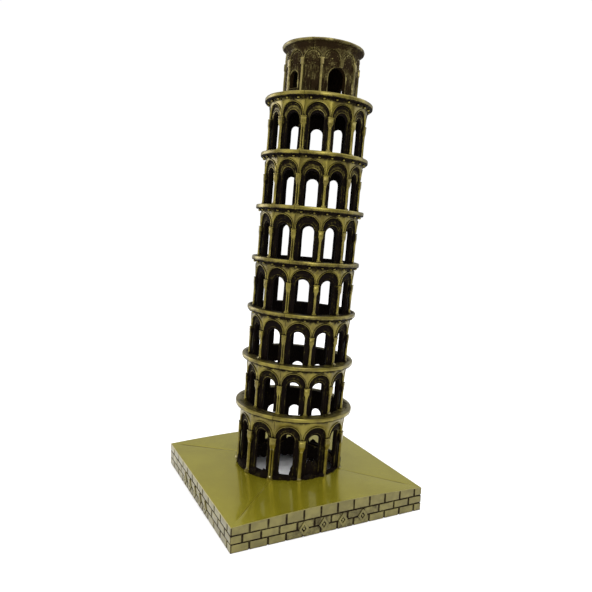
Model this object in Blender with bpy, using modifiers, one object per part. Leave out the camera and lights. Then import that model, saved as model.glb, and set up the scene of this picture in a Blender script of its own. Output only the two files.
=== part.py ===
"""Miniature leaning tower: a cast brass-finish tower in storey halves on a hollow square base.

Units are metres, +Z up. The origin is the centre of the base's underside, the side of the base
that faces -Y is its front, and the tower leans towards +X. Every storey is two half-drums that
meet at one vertical seam; the storeys stand on each other and the lowest stands on the base.
"""
import math

import bmesh
import bpy
from mathutils import Matrix, Vector

MM = 0.001
GAP = 0.3 * MM                     # solder line kept between neighbouring castings

# Base
BASE_SIDE = 80.0 * MM
BASE_EDGE_HEIGHT = 9.3 * MM        # height of its side faces at the four corners
TOP_CROWN = 1.5 * MM               # rise of the top from the corners to the middle
EDGE_CROWN = 1.3 * MM              # rise of the front and back top edges at mid-side
TOP_CELLS = 8                      # facets across the crowned top
BASE_WALL = 2.4 * MM
TOP_PLATE = 2.4 * MM
WELL_RADIUS = 19.3 * MM            # round hole through the top plate, under the tower
COURSES = 3                        # brick courses on each side
BED_JOINT = 0.5 * MM
BED_DEPTH = 0.35 * MM

# Tower
FOOT_X = 1.8 * MM                  # where the tower's axis meets the base's corner height
FOOT_Y = 2.7 * MM
LEAN = math.radians(2.9)
LEAN_HEADING = math.radians(-7.4)  # 0 is towards +X
BAYS = 12
BAY_PHASE = math.radians(17.0)     # azimuth of one column
SEAM_COLUMN = 1                    # the seam runs through this column and the one opposite
FACETS = 24                        # sides of each turned drum

STOREYS = ("ground_storey", "loggia_1", "loggia_2", "loggia_3", "loggia_4", "loggia_5", "loggia_6")
STOREY_HEIGHTS = tuple(h * MM for h in (26.0, 20.0, 20.1, 20.5, 20.7, 20.7, 21.4))
COLUMN_RADII = tuple(r * MM for r in (22.4, 21.1, 20.9, 20.7, 20.3, 20.1, 19.9))
CORNICE_RADII = tuple(r * MM for r in (24.6, 23.3, 22.6, 22.2, 22.1, 21.8, 21.7))
CORNICE_THICKNESS = 1.9 * MM
WALL_THICKNESS = 2.6 * MM          # from the columns' faces to the inside of the drum
BED_MOULD_HEIGHT = 1.0 * MM        # sloping moulding under each cornice
FOOT_EXTRA = 4.0 * MM              # spare length under the ground storey, trimmed to the base
FOOT_RING = 2.4 * MM               # top of the ground storey's foot ring, above the base's corners

# Arches: crowns are measured down from the middle of the cornice above
ARCH_FILL = 0.43                   # arch radius, as a part of the chord between two columns
ARCH_CROWN_DROP = 2.6 * MM
RECESS_DEPTH = 1.5 * MM
DOOR_RADIUS = 2.6 * MM
DOOR_CROWN_DROP = 6.2 * MM
GROUND_EXTRA_DROP = 0.8 * MM       # both crowns sit this much lower on the ground storey
ARCH_SEGMENTS = 8

# Belfry
BELFRY_HEIGHT = 21.0 * MM          # from the last cornice to the parapet
BELFRY_RADIUS = 15.1 * MM
BELFRY_WALL = 2.2 * MM
PARAPET_RADIUS = 16.4 * MM
PARAPET_INNER = 13.6 * MM
PARAPET_THICKNESS = 1.3 * MM
PARAPET_COVE = 2.0 * MM            # height of the cove under it
ROOF_DROP = 2.5 * MM               # roof surface below the parapet's top
ROOF_THICKNESS = 1.6 * MM
BLIND_RADIUS = 3.4 * MM
BLIND_DEPTH = 0.8 * MM
BLIND_CENTRE_DROP = 6.4 * MM
BLIND_FOOT = 1.0 * MM
BLIND_PHASE = math.radians(2.0)
BELL_SPRING = 7.1 * MM             # springing of doorways and windows above the belfry's foot
DOORWAYS = tuple(math.radians(a) for a in (-92.0, 88.0))
DOORWAY_RADIUS = 3.7 * MM
DOORWAY_SILL = 0.8 * MM
WINDOWS = tuple(math.radians(a) for a in (-165.0, 15.0))
WINDOW_RADIUS = 2.2 * MM
WINDOW_SILL = 3.0 * MM

BRASS = {
    "base": (0.33, 0.29, 0.09),
    "ground_storey": (0.30, 0.26, 0.10),
    "loggia": (0.28, 0.24, 0.10),
    "belfry": (0.24, 0.20, 0.09),
}
ROUGHNESS = 0.32
REACH = 200.0 * MM                 # longer than the whole object, for half-space cutters

parts = None
cutters = None
tower_axis = None


def clear_scene():
    for obj in list(bpy.data.objects):
        bpy.data.objects.remove(obj)


def new_collection(name):
    collection = bpy.data.collections.new(name)
    bpy.context.scene.collection.children.link(collection)
    return collection


def brass(name, color):
    material = bpy.data.materials.new(name)
    material.use_nodes = True
    shader = material.node_tree.nodes["Principled BSDF"]
    shader.inputs["Base Color"].default_value = (*color, 1.0)
    shader.inputs["Metallic"].default_value = 1.0
    shader.inputs["Roughness"].default_value = ROUGHNESS
    return material


def object_from(name, bm, collection):
    mesh = bpy.data.meshes.new(name)
    bmesh.ops.recalc_face_normals(bm, faces=bm.faces[:])
    bm.to_mesh(mesh)
    bm.free()
    obj = bpy.data.objects.new(name, mesh)
    collection.objects.link(obj)
    return obj


def as_cutter(obj):
    obj.hide_render = True
    obj.display_type = "WIRE"
    return obj


def cut(obj, cutter):
    modifier = obj.modifiers.new(f"cut_{cutter.name}", "BOOLEAN")
    modifier.operation = "DIFFERENCE"
    modifier.object = cutter
    modifier.solver = "EXACT"


def box_cutter(name, low, high):
    bm = bmesh.new()
    size = Vector(high) - Vector(low)
    middle = (Vector(low) + Vector(high)) / 2
    bmesh.ops.create_cube(bm, size=1.0, matrix=Matrix.Translation(middle) @ Matrix.Diagonal((*size, 1)))
    return as_cutter(object_from(name, bm, cutters))


def tower_frame():
    """World matrix of the tower: its local Z is the leaning axis, its local X lies towards +X."""
    axis = Vector((math.sin(LEAN) * math.cos(LEAN_HEADING),
                   math.sin(LEAN) * math.sin(LEAN_HEADING), math.cos(LEAN)))
    east = Vector((0, 1, 0)).cross(axis).normalized()
    north = axis.cross(east)
    turn = Matrix((east, north, axis)).transposed().to_4x4()
    return Matrix.Translation((FOOT_X, FOOT_Y, BASE_EDGE_HEIGHT)) @ turn


def top_height(x, y):
    """Height of the base's crowned top: four facets that meet on the diagonals."""
    half = BASE_SIDE / 2
    if abs(x) >= abs(y):
        return BASE_EDGE_HEIGHT + TOP_CROWN * (1 - abs(x) / half)
    along = abs(y) / half
    bow = EDGE_CROWN * along * (1 - (x / y) ** 2)
    return BASE_EDGE_HEIGHT + TOP_CROWN * (1 - along) + bow


def crowned_block(lift, bottom):
    """Square block with the base's crowned top, raised by lift, and a flat bottom."""
    bm = bmesh.new()
    bmesh.ops.create_grid(bm, x_segments=TOP_CELLS, y_segments=TOP_CELLS, size=BASE_SIDE / 2)
    bmesh.ops.poke(bm, faces=bm.faces[:])
    for vert in bm.verts:
        vert.co.z = top_height(vert.co.x, vert.co.y) + lift
    rim = [edge for edge in bm.edges if edge.is_boundary]
    skirt = bmesh.ops.extrude_edge_only(bm, edges=rim)["geom"]
    for vert in (item for item in skirt if isinstance(item, bmesh.types.BMVert)):
        vert.co.z = bottom
    floor = [item for item in skirt if isinstance(item, bmesh.types.BMEdge)]
    bmesh.ops.edgeloop_fill(bm, edges=floor)
    return bm


def turned(name, profile):
    """Closed ring turned from (radius, height) pairs that run down the outer side."""
    bm = bmesh.new()
    verts = [bm.verts.new((radius, 0, height)) for radius, height in profile]
    for first, second in zip(verts, verts[1:] + verts[:1]):
        bm.edges.new((first, second))
    bmesh.ops.rotate(bm, verts=bm.verts[:], cent=(0, 0, 0),
                     matrix=Matrix.Rotation(math.pi / FACETS, 3, "Z"))
    mesh = bpy.data.meshes.new(name)
    bm.to_mesh(mesh)
    bm.free()
    obj = bpy.data.objects.new(name, mesh)
    parts.objects.link(obj)
    screw = obj.modifiers.new("turn", "SCREW")
    screw.angle = math.tau
    screw.steps = FACETS
    screw.render_steps = FACETS
    screw.use_merge_vertices = True
    screw.merge_threshold = 0.00001
    return obj


def arch_prism(bm, azimuth, radius, centre, foot, inner, outer):
    """Radial prism with a round arch outline: centre is the height of its springing."""
    outline = [(-radius, foot), (radius, foot)]
    for step in range(ARCH_SEGMENTS + 1):
        angle = math.pi * step / ARCH_SEGMENTS
        outline.append((radius * math.cos(angle), centre + radius * math.sin(angle)))
    face = bm.faces.new([bm.verts.new((inner, across, height)) for across, height in outline])
    pushed = bmesh.ops.extrude_face_region(bm, geom=[face])["geom"]
    verts = [item for item in pushed if isinstance(item, bmesh.types.BMVert)]
    bmesh.ops.translate(bm, verts=verts, vec=(outer - inner, 0, 0))
    bmesh.ops.rotate(bm, verts=verts + list(face.verts), cent=(0, 0, 0),
                     matrix=Matrix.Rotation(azimuth, 3, "Z"))


def arch_cutter(name, azimuths, radius, centre, foot, inner, outer):
    bm = bmesh.new()
    for azimuth in azimuths:
        arch_prism(bm, azimuth, radius, centre, foot, inner, outer)
    cutter = as_cutter(object_from(name, bm, cutters))
    cutter.parent = tower_axis
    return cutter


def seam_cutters():
    """Two half-space blocks: each leaves one half of a drum, half a gap clear of the seam."""
    seam = BAY_PHASE + SEAM_COLUMN * math.tau / BAYS
    blocks = {}
    for side, low, high in (("right", -GAP / 2, REACH), ("left", -REACH, GAP / 2)):
        block = box_cutter(f"seam_{side}", (-REACH, low, -REACH), (REACH, high, REACH * 1.5))
        block.rotation_euler = (0, 0, seam)
        block.parent = tower_axis
        blocks[side] = block
    return blocks


def base_casting():
    """Hollow square tray with a crowned top that has a round well in it."""
    base = object_from("base", crowned_block(0.0, 0.0), parts)
    half = BASE_SIDE / 2

    hollow = bmesh.new()
    inside = half - BASE_WALL
    low, high = -5 * MM, BASE_EDGE_HEIGHT - TOP_PLATE
    bmesh.ops.create_cube(hollow, size=1.0, matrix=Matrix.Translation((0, 0, (low + high) / 2))
                          @ Matrix.Diagonal((2 * inside, 2 * inside, high - low, 1)))
    hollow = as_cutter(object_from("base_hollow", hollow, cutters))
    well = bmesh.new()
    bmesh.ops.create_cone(well, cap_ends=True, segments=FACETS, radius1=WELL_RADIUS,
                          radius2=WELL_RADIUS, depth=60 * MM)
    well = as_cutter(object_from("base_well", well, cutters))
    well.location = (FOOT_X, FOOT_Y, 0)
    cut(base, hollow)
    cut(base, well)

    course = BASE_EDGE_HEIGHT / COURSES
    for joint in range(1, COURSES):
        outer = bmesh.new()
        bmesh.ops.create_cube(outer, size=1.0, matrix=Matrix.Translation((0, 0, joint * course))
                              @ Matrix.Diagonal((1.5 * BASE_SIDE, 1.5 * BASE_SIDE, BED_JOINT, 1)))
        outer = as_cutter(object_from(f"bed_joint_{joint}", outer, cutters))
        keep = half - BED_DEPTH
        core = box_cutter(f"bed_core_{joint}", (-keep, -keep, -5 * MM), (keep, keep, 20 * MM))
        cut(outer, core)
        cut(base, outer)
    base.data.materials.append(brass("base_brass", BRASS["base"]))


def drum_profile(column_radius, cornice_radius, foot, cornice, floor_radius):
    """Wall of one storey under its cornice plate, whose hole has the given floor radius."""
    inner = column_radius - WALL_THICKNESS
    top = cornice + CORNICE_THICKNESS / 2
    under = cornice - CORNICE_THICKNESS / 2
    nose = CORNICE_THICKNESS * 0.28
    profile = [(floor_radius, top), (cornice_radius - nose, top), (cornice_radius, cornice + nose),
               (cornice_radius, cornice - nose), (cornice_radius - nose, under),
               (column_radius, under - BED_MOULD_HEIGHT), (column_radius, foot), (inner, foot)]
    if floor_radius < inner:
        profile += [(inner, under), (floor_radius, under)]
    return profile


def storey(index, foot, cornice, seams, ground_cutter):
    """Two half-drums of one arcaded storey."""
    column_radius = COLUMN_RADII[index]
    inner = column_radius - WALL_THICKNESS
    carries_belfry = index == len(STOREYS) - 1
    floor_radius = BELFRY_RADIUS - BELFRY_WALL if carries_belfry else inner
    profile = drum_profile(column_radius, CORNICE_RADII[index], foot, cornice, floor_radius)
    pitch = math.tau / BAYS
    bays = [BAY_PHASE + pitch * (bay + 0.5) for bay in range(BAYS)]
    lowest = FOOT_RING if index == 0 else foot - 2 * MM
    crowns = cornice - (GROUND_EXTRA_DROP if index == 0 else 0.0)
    arch_radius = ARCH_FILL * 2 * column_radius * math.sin(pitch / 2)
    arch_centre = crowns - ARCH_CROWN_DROP - arch_radius
    recess = arch_cutter(f"recess_{index}", bays, arch_radius, arch_centre, lowest,
                         column_radius - RECESS_DEPTH, column_radius + 3 * MM)
    door_centre = crowns - DOOR_CROWN_DROP - DOOR_RADIUS
    door = arch_cutter(f"door_{index}", bays, DOOR_RADIUS, door_centre, lowest,
                       inner - 3 * MM, column_radius + 3 * MM)
    finish = "ground_storey" if index == 0 else "loggia"
    for side in ("right", "left"):
        name = f"{STOREYS[index]}_{side}_half"
        half = turned(name, profile)
        half.parent = tower_axis
        half.rotation_euler = (0, 0, BAY_PHASE)
        cut(half, recess)
        cut(half, door)
        cut(half, seams[side])
        if index == 0:
            cut(half, ground_cutter)
        half.data.materials.append(brass(f"{name}_brass", BRASS[finish]))


def belfry(foot, parapet, seams):
    """Two halves of the round bell chamber with its blind arcade, openings, roof and parapet."""
    inner = BELFRY_RADIUS - BELFRY_WALL
    top = parapet + PARAPET_THICKNESS / 2
    under = parapet - PARAPET_THICKNESS / 2
    roof = top - ROOF_DROP
    nose = PARAPET_THICKNESS * 0.28
    hub = 0.4 * MM                 # the roof is turned with a pin-hole at its centre
    profile = [(PARAPET_INNER, top), (PARAPET_RADIUS - nose, top), (PARAPET_RADIUS, top - nose),
               (PARAPET_RADIUS, under + nose), (PARAPET_RADIUS - nose, under),
               (BELFRY_RADIUS, under - PARAPET_COVE), (BELFRY_RADIUS, foot), (inner, foot),
               (inner, roof - ROOF_THICKNESS), (hub, roof - ROOF_THICKNESS), (hub, roof),
               (PARAPET_INNER, roof)]
    pitch = math.tau / BAYS
    bays = [BLIND_PHASE + pitch * (bay + 0.5) for bay in range(BAYS)]
    blind = arch_cutter("blind_arcade", bays, BLIND_RADIUS, parapet - BLIND_CENTRE_DROP,
                        foot + BLIND_FOOT, BELFRY_RADIUS - BLIND_DEPTH, BELFRY_RADIUS + 3 * MM)
    reach = (inner - 3 * MM, BELFRY_RADIUS + 4 * MM)
    spring = foot + BELL_SPRING
    doorways = arch_cutter("doorways", DOORWAYS, DOORWAY_RADIUS, spring, foot + DOORWAY_SILL, *reach)
    windows = arch_cutter("windows", WINDOWS, WINDOW_RADIUS, spring, foot + WINDOW_SILL, *reach)
    for side in ("right", "left"):
        name = f"belfry_{side}_half"
        half = turned(name, profile)
        half.parent = tower_axis
        half.rotation_euler = (0, 0, BLIND_PHASE)
        cut(half, blind)
        cut(half, doorways)
        cut(half, windows)
        cut(half, seams[side])
        half.data.materials.append(brass(f"{name}_brass", BRASS["belfry"]))


def build():
    global parts, cutters, tower_axis
    clear_scene()
    parts = new_collection("leaning_tower_miniature")
    cutters = new_collection("cutters")
    tower_axis = bpy.data.objects.new("tower_axis", None)
    tower_axis.matrix_world = tower_frame()
    parts.objects.link(tower_axis)

    base_casting()
    ground_cutter = as_cutter(object_from("ground_cutter", crowned_block(GAP, -20 * MM), cutters))
    seams = seam_cutters()
    foot = -FOOT_EXTRA
    cornice = 0.0
    for index, height in enumerate(STOREY_HEIGHTS):
        cornice += height
        storey(index, foot, cornice, seams, ground_cutter)
        foot = cornice + CORNICE_THICKNESS / 2 + GAP
    belfry(foot, cornice + BELFRY_HEIGHT, seams)


build()
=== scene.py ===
"""Looks of the miniature leaning tower: detailed castings, antique-brass materials, light, camera.

Lengths in the tables and in the modelling functions are millimetres; meshes are written in metres.
The tower's castings are modelled in the tower's own frame (Z is the leaning axis, height 0 is where
it meets the base's corner height) and are then laid along the lean.
"""
import math

import bmesh
import bpy
import numpy as np
from mathutils import Matrix, Vector, noise


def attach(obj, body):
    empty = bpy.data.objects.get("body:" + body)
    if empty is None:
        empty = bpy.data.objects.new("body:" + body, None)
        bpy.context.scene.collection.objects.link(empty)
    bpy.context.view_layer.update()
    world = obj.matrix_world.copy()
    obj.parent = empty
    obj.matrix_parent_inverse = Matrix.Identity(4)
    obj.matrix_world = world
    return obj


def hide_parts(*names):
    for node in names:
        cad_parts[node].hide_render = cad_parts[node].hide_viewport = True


MM = 0.001
# Directional noise is offset by the time of day unless it is seeded.
noise.seed_set(5)

# ---------------- driving dimensions (as in the CAD)
BASE_HALF = 40.0
BASE_EDGE_HEIGHT = 9.3
TOP_CROWN = 1.5
EDGE_CROWN = 1.3
WELL_RADIUS = 19.3
TOP_PLATE = 2.4
BASE_WALL = 2.4

FOOT = (1.8, 2.7, BASE_EDGE_HEIGHT)
LEAN = math.radians(2.9)
LEAN_HEADING = math.radians(-7.4)
PITCH = math.tau / 12
SEAM = math.radians(47.0)

STOREYS = ("ground_storey", "loggia_1", "loggia_2", "loggia_3", "loggia_4", "loggia_5", "loggia_6")
STOREY_HEIGHTS = (26.0, 20.0, 20.1, 20.5, 20.7, 20.7, 21.4)
COLUMN_RADII = (22.4, 21.1, 20.9, 20.7, 20.3, 20.1, 19.9)
CORNICE_RADII = (24.6, 23.3, 22.6, 22.2, 22.1, 21.8, 21.7)
CORNICE_HALF = 0.95
WALL_THICKNESS = 2.6
COLUMN_PROUD = (0.22, 0.2, 0.25, 0.15, 0.1, 0.1, 0.1)      # columns' faces beyond those radii
COLUMN_SCALE = (1.34, 1.06, 0.95, 1.0, 0.98, 1.06, 1.16)   # columns' width
SEAM_COLUMN_SCALE = 0.60           # a column on the seam is two slim ones, one on each half
SEAM_COLUMN_SHIFT = 0.37           # and each of them stands this far from the seam
RUBBED = (1.0, 0.87, 0.67, 0.62, 0.75, 0.90, 0.94)         # how bright each storey is rubbed
TWIST = (-2.0, -0.9, -0.5, -0.5, -0.2, 0.0, 0.0)           # degrees each storey is turned
BAYS = 6                           # bays of a half-drum
CORBELS = 13                       # corbels of a half-drum
SPANDREL_SETBACK = 0.4             # spandrels lie this far behind the columns' faces
ARCH_FILL = 0.43
ARCH_CROWN_DROP = 2.6
RIM_SHARE = 0.460                  # arch's raised rim: outer radius as a share of the bay
DOOR_RADIUS = 2.6
DOOR_CROWN_DROP = 6.2
GROUND_EXTRA_DROP = 0.8
CAPITAL_DROP = 7.8                 # capital's top below the cornice's middle
FOOT_RING = 2.4

BELFRY_HEIGHT = 21.0
BELFRY_RADIUS = 15.1
BELFRY_WALL = 2.2
PARAPET_RADIUS = 16.4
PARAPET_INNER = 13.6
PARAPET_THICKNESS = 1.3
ROOF_DROP = 2.5
ROOF_THICKNESS = 1.6
BLIND_PHASE = math.radians(2.0)
BLIND_RADIUS = 3.4
BLIND_CENTRE_DROP = 6.4
BELL_SPRING = 7.1
OPENINGS = ((math.radians(-92.0), 3.7, 0.8), (math.radians(88.0), 3.7, 0.8),
            (math.radians(-165.0), 2.2, 3.0), (math.radians(15.0), 2.2, 3.0))

SEAM_GAP = 0.07                    # half the width of the joint line, as it shows
TURN_STEPS = 96                    # facets of a turned half-ring
# Unevenness of the castings: (amplitude, waves per mm).
WOBBLE = ((0.075, 0.23), (0.035, 0.9), (0.012, 2.6))
MERGE_DISTANCE = 0.004


# ---------------- mesh building
def link_object(name, data):
    obj = bpy.data.objects.new(name, data)
    bpy.context.scene.collection.objects.link(obj)
    return obj


class Casting:
    """Closed shells in one frame, with a slot and a rub value each (1 bright, 0 dark patina), which
    in places also holds painted shade and painted light.
    """

    def __init__(self):
        self.points = []
        self.faces = []
        self.rub_and_painted_light = []
        self.face_slots = []

    def add(self, points, faces, rub_and_painted_light, slot=0):
        start = len(self.points)
        self.points.extend(tuple(point) for point in points)
        self.faces.extend(tuple(start + index for index in face) for face in faces)
        if np.isscalar(rub_and_painted_light):
            rub_and_painted_light = [rub_and_painted_light] * len(points)
        self.rub_and_painted_light.extend(rub_and_painted_light)
        self.face_slots.extend([slot] * len(faces))

    def build(self, name, matrix, wobble=WOBBLE, smooth_angle=38.0):
        mesh = bpy.data.meshes.new(name)
        mesh.from_pydata([roughened(point, wobble) for point in self.points], [], self.faces)
        layer = mesh.attributes.new("rub_and_painted_light", "FLOAT", "POINT")
        layer.data.foreach_set("value", np.asarray(self.rub_and_painted_light, dtype=np.float32))
        mesh.polygons.foreach_set("material_index", self.face_slots)
        bm = bmesh.new()
        bm.from_mesh(mesh)
        bmesh.ops.remove_doubles(bm, verts=bm.verts[:], dist=MERGE_DISTANCE)
        bmesh.ops.recalc_face_normals(bm, faces=bm.faces[:])
        bm.to_mesh(mesh)
        bm.free()
        mesh.transform(matrix @ Matrix.Scale(MM, 4))
        mesh.shade_smooth()
        mesh.set_sharp_from_angle(angle=math.radians(smooth_angle))
        return link_object(name, mesh)


def roughened(point, wobble):
    """Point moved by a smooth field, so that touching shells of a casting move together."""
    moved = Vector(point)
    for amplitude, waves in wobble:
        moved += amplitude * noise.noise_vector(Vector(point) * waves)
    return moved


def smoothstep(low, high, value):
    share = min(max((value - low) / (high - low), 0.0), 1.0)
    return share * share * (3 - 2 * share)


def grid_faces(rows, columns, wrap_rows=False, wrap_columns=False):
    faces = []
    for row in range(rows if wrap_rows else rows - 1):
        for column in range(columns if wrap_columns else columns - 1):
            below = (row + 1) % rows
            right = (column + 1) % columns
            faces.append((row * columns + column, row * columns + right,
                          below * columns + right, below * columns + column))
    return faces


def tower_point(azimuth, across, radius, height):
    """Point at a radius from the axis, moved sideways (across) from the azimuth's radial plane."""
    angle = azimuth + math.asin(across / radius)
    return (radius * math.cos(angle), radius * math.sin(angle), height)


def tower_matrix():
    axis = Vector((math.sin(LEAN) * math.cos(LEAN_HEADING),
                   math.sin(LEAN) * math.sin(LEAN_HEADING), math.cos(LEAN)))
    east = Vector((0, 1, 0)).cross(axis).normalized()
    north = axis.cross(east)
    turn = Matrix((east, north, axis)).transposed().to_4x4()
    return Matrix.Translation(Vector(FOOT) * MM) @ turn


# ---------------- one arcaded storey
LEG_POINTS = 12
CORNER_POINTS = 8
CROWN_POINTS = 7


def outline_angles(half_width, rise):
    """Arch angles from the left springing to the right one, with one on each corner of the bay."""
    corner = math.atan2(rise, half_width)
    low = [corner * step / CORNER_POINTS for step in range(CORNER_POINTS + 1)]
    high = [corner + (math.pi / 2 - corner) * step / CROWN_POINTS
            for step in range(1, CROWN_POINTS + 1)]
    right = low + high
    return [math.pi - angle for angle in right[:-1]] + [math.pi / 2] + right[-2::-1]


def arch_path(radius, centre, foot, angles):
    """(across, height) from the left foot, over the arch, to the right foot."""
    legs = [foot + (centre - foot) * step / LEG_POINTS for step in range(LEG_POINTS)]
    path = [(-radius, height) for height in legs]
    path += [(radius * math.cos(angle), centre + radius * math.sin(angle)) for angle in angles]
    return path + [(radius, height) for height in reversed(legs)]


def bay_frame_path(centre, foot, top, half_width, angles):
    """The bay's own rectangle, cut by the same rays as the arches: across is -1 to 1."""
    legs = [foot + (centre - foot) * step / LEG_POINTS for step in range(LEG_POINTS)]
    path = [(-1.0, height) for height in legs]
    for angle in angles:
        cosine, sine = math.cos(angle), math.sin(angle)
        reach = min(half_width / max(abs(cosine), 1e-9), (top - centre) / max(sine, 1e-9))
        path.append((reach * cosine / half_width, centre + reach * sine))
    return path + [(1.0, height) for height in reversed(legs)]


# Orders of the arch, from its rim (0) to the opening (1): place, depth behind the spandrel above
# the capitals and below them, and the rub above and below.
ORDERS = (
    (-0.03, 0.10, 0.95, 0.25, 0.10),
    (0.00, -0.12, 0.95, 0.90, 0.10),
    (0.04, -0.26, 0.95, 1.00, 0.10),
    (0.12, -0.26, 0.95, 1.00, 0.10),
    (0.16, -0.10, 0.95, 0.75, 0.20),
    (0.18, 0.38, 0.96, 0.04, 0.30),
    (0.25, 0.50, 0.98, 0.00, 0.06),
    (0.27, 0.36, 1.00, 0.204, 0.06),
    (0.31, 0.36, 1.00, 0.228, 0.10),
    (0.34, 0.55, 1.02, 0.048, 0.06),
    (0.55, 0.68, 1.06, 0.20, 0.08),
    (0.74, 0.78, 1.10, 0.08, 0.04),
    (0.76, 0.64, 0.98, 0.32, 0.20),
    (0.81, 0.64, 0.98, 0.36, 0.26),
    (0.85, 1.02, 1.26, 0.012, 0.02),
    (0.93, 1.20, 1.30, 0.048, 0.10),
)
PAINTED_LIGHT_ORDER = (0.5, 0.84)          # places of the order where the top storeys carry painted light
LOWER_FACE = 0.95                  # wall between the columns lies this far behind the spandrel
SAME_ANGLE = 1e-6
RIB_PITCH = 0.85
RIB_SECTION = ((-0.24, 0.08), (-0.16, -0.16), (0.0, -0.24), (0.16, -0.16), (0.24, 0.08))


def on_a_seam(angle, seams):
    return any(abs(math.remainder(angle - seam, math.tau)) < SAME_ANGLE for seam in seams)


def storey_wall(casting, bay_azimuths, seams, column_radius, foot, cornice, extra_drop, cove,
                crescent_painted_light):
    """Arcade wall of one half-drum, bay by bay, as rings lofted from the front face to the back."""
    spandrel = column_radius - SPANDREL_SETBACK
    inner = column_radius - WALL_THICKNESS
    half_width = column_radius * math.sin(PITCH / 2)
    arch_centre = cornice - extra_drop - ARCH_CROWN_DROP - ARCH_FILL * 2 * half_width
    rim = RIM_SHARE * 2 * half_width
    margin = spandrel * math.sin(PITCH / 2) - rim
    door_centre = cornice - extra_drop - DOOR_CROWN_DROP - DOOR_RADIUS
    capital_top = cornice - extra_drop - CAPITAL_DROP
    outer_top = cornice - CORNICE_HALF - 0.3
    inner_top = cornice + CORNICE_HALF - 0.05
    angles = outline_angles(half_width, outer_top - arch_centre)
    frame_path = bay_frame_path(arch_centre, foot, outer_top, half_width, angles)
    back_path = bay_frame_path(arch_centre, foot, inner_top, half_width, angles)
    count = len(frame_path)

    def at(height, above, below):
        return below + (above - below) * smoothstep(capital_top - 1.2, capital_top + 0.1, height)

    # Painted shade: above the capitals the spandrel darkens towards the cornice, where the
    # gallery's overhang shades it.
    def spandrel_rub_and_shade(height):
        shade = smoothstep(cornice - 1.6 - 1.1 * cove, cornice - 1.2 - 0.4 * cove, height)
        return at(height, 0.92 - 0.80 * shade, 0.15)

    for azimuth in bay_azimuths:
        def edge_point(share, radius, height):
            angle = azimuth + share * PITCH / 2
            if on_a_seam(angle, seams):
                angle -= math.copysign(SEAM_GAP / radius, share)
            return (radius * math.cos(angle), radius * math.sin(angle), height)

        def order_point(across, depth, height):
            angle = azimuth + math.asin(across / spandrel)
            radius = spandrel - depth
            return (radius * math.cos(angle), radius * math.sin(angle), height)

        rings = [[edge_point(share, spandrel - at(height, 0.0, LOWER_FACE), height)
                  for share, height in frame_path]]
        rub_and_painted_light_values = [spandrel_rub_and_shade(height) for _, height in frame_path]
        path = arch_path(rim + 0.7 * margin, arch_centre, foot, angles)
        rings.append([order_point(across, at(height, 0.0, LOWER_FACE), height)
                      for across, height in path])
        rub_and_painted_light_values += [spandrel_rub_and_shade(height) for _, height in path]
        for place, above, below, rub_and_light_above, rub_below in ORDERS:
            radius = rim + (DOOR_RADIUS - rim) * place
            centre = arch_centre + (door_centre - arch_centre) * max(0.0, place - 0.18) / 0.82
            path = arch_path(radius, centre, foot, angles)
            rings.append([order_point(across, at(height, above, below), height)
                          for across, height in path])
            # Painted light: on the top storeys these orders are made lighter, where the arches'
            # crescent faces catch the light.
            if PAINTED_LIGHT_ORDER[0] < place < PAINTED_LIGHT_ORDER[1]:
                rub_and_light_above += crescent_painted_light
            rub_and_painted_light_values += [at(height, rub_and_light_above, rub_below) for _, height in path]
        for radius, depth in ((DOOR_RADIUS, 1.32), (DOOR_RADIUS, WALL_THICKNESS - 0.55),
                              (DOOR_RADIUS + 0.12, WALL_THICKNESS - SPANDREL_SETBACK)):
            path = arch_path(radius, door_centre, foot, angles)
            rings.append([tower_point(azimuth, across, spandrel - depth, height)
                          for across, height in path])
            rub_and_painted_light_values += [0.0] * count
        rings.append([edge_point(share, inner, height) for share, height in back_path])
        rub_and_painted_light_values += [0.0] * count

        points = [point for ring in rings for point in ring]
        faces = grid_faces(len(rings), count)
        last = (len(rings) - 1) * count
        top_from = LEG_POINTS + CORNER_POINTS
        top_to = count - 1 - top_from
        for column in range(top_from, top_to):
            faces.append((column, column + 1, last + column + 1, last + column))
        for foot_column in (0, count - 1):
            faces.append(tuple(row * count + foot_column for row in range(len(rings))))
        for side, columns in ((-1, range(top_from)), (1, range(top_to, count - 1))):
            if on_a_seam(azimuth + side * PITCH / 2, seams):
                faces.extend((column, column + 1, last + column + 1, last + column)
                             for column in columns)
        casting.add(points, faces, rub_and_painted_light_values)
        inner_ribs(casting, azimuth, inner, foot, inner_top, door_centre)


def inner_ribs(casting, azimuth, inner, foot, top, door_centre):
    """Fine upright ribs that the core left on the inside of the wall."""
    half = inner * math.sin(PITCH / 2)
    count = int(half / RIB_PITCH)
    for step in range(-count, count + 1):
        across = step * RIB_PITCH
        low = foot + 0.1
        if abs(across) < DOOR_RADIUS + 0.45:
            low = door_centre + DOOR_RADIUS + 0.35
        points = [tower_point(azimuth, across + side, inner + depth, height)
                  for height in (low, (low + top) / 2, top - 0.1)
                  for side, depth in RIB_SECTION]
        width = len(RIB_SECTION)
        faces = grid_faces(3, width, wrap_columns=True)
        faces += [tuple(range(width)), tuple(range(2 * width, 3 * width))]
        casting.add(points, faces, 0.06)


def half_ring(casting, profile, rubs, seam, gap):
    """Half of a turned ring with flat ends: profile is a closed loop of (radius, height)."""
    start = seam + gap
    stop = seam + math.pi - gap
    points = []
    for step in range(TURN_STEPS + 1):
        angle = start + (stop - start) * step / TURN_STEPS
        points += [(radius * math.cos(angle), radius * math.sin(angle), height)
                   for radius, height in profile]
    width = len(profile)
    faces = grid_faces(TURN_STEPS + 1, width, wrap_columns=True)
    faces += [tuple(range(width)), tuple(range(TURN_STEPS * width, (TURN_STEPS + 1) * width))]
    casting.add(points, faces, list(rubs) * (TURN_STEPS + 1))


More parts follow.
